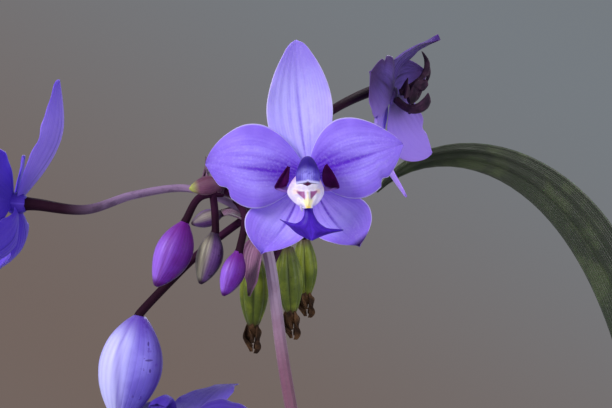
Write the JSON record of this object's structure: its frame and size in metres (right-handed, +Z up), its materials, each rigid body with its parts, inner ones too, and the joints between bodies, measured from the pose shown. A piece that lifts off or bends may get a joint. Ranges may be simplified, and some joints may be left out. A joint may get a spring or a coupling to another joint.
{
  "type": "potted philippine ground orchid",
  "caption": "Ground orchid in a tapered clay pot: long pleated leaves rise from squat pseudobulbs, and slender plum stems bear violet blooms, hanging buds and ribbed pods.",
  "frame": {"origin": "centre of the pot's foot, on the surface that the pot stands on", "axes": "+Z up along the pot's axis, -Y towards the viewer whom the front bloom faces, +X to that viewer's right"},
  "size_m": [0.5816, 0.5511, 0.638],
  "materials": {
    "pot": "matte",
    "soil": "matte",
    "bulb": "satin",
    "leaf": "satin",
    "stem": "satin",
    "tepal": "satin",
    "lip": "satin",
    "callus": "satin",
    "column": "satin",
    "bud": "satin",
    "capsule": "satin"
  },
  "bodies": {
    "root": {"pot": "pot", "soil": "soil", "pseudobulb_1": "bulb", "pseudobulb_2": "bulb", "pseudobulb_3": "bulb", "pseudobulb_4": "bulb", "leaf_1": "leaf", "leaf_2": "leaf", "leaf_3": "leaf", "leaf_4": "leaf", "leaf_5": "leaf", "leaf_6": "leaf", "leaf_7": "leaf", "leaf_8": "leaf", "leaf_9": "leaf", "flower_stem_tall": "stem", "flower_stem_short": "stem", "bloom_front_tepals": "tepal", "bloom_front_lip": "lip", "bloom_front_callus": "callus", "bloom_front_column": "column", "bloom_left_tepals": "tepal", "bloom_left_lip": "lip", "bloom_left_callus": "callus", "bloom_left_column": "column", "bloom_rear_tepals": "tepal", "bloom_rear_lip": "lip", "bloom_rear_callus": "callus", "bloom_rear_column": "column", "bloom_low_tepals": "tepal", "bloom_low_lip": "lip", "bloom_low_callus": "callus", "bloom_low_column": "column", "bloom_back_tepals": "tepal", "bloom_back_lip": "lip", "bloom_back_callus": "callus", "bloom_back_column": "column", "bud_large": "bud", "bud_violet": "bud", "bud_small": "bud", "bud_pale": "bud", "bud_tip": "bud", "bud_inner": "bud", "bud_low_large": "bud", "bud_low_left": "bud", "bud_low_back": "bud", "capsule_left": "capsule", "capsule_middle": "capsule", "capsule_right": "capsule", "capsule_low": "capsule"}
  },
  "joints": []
}
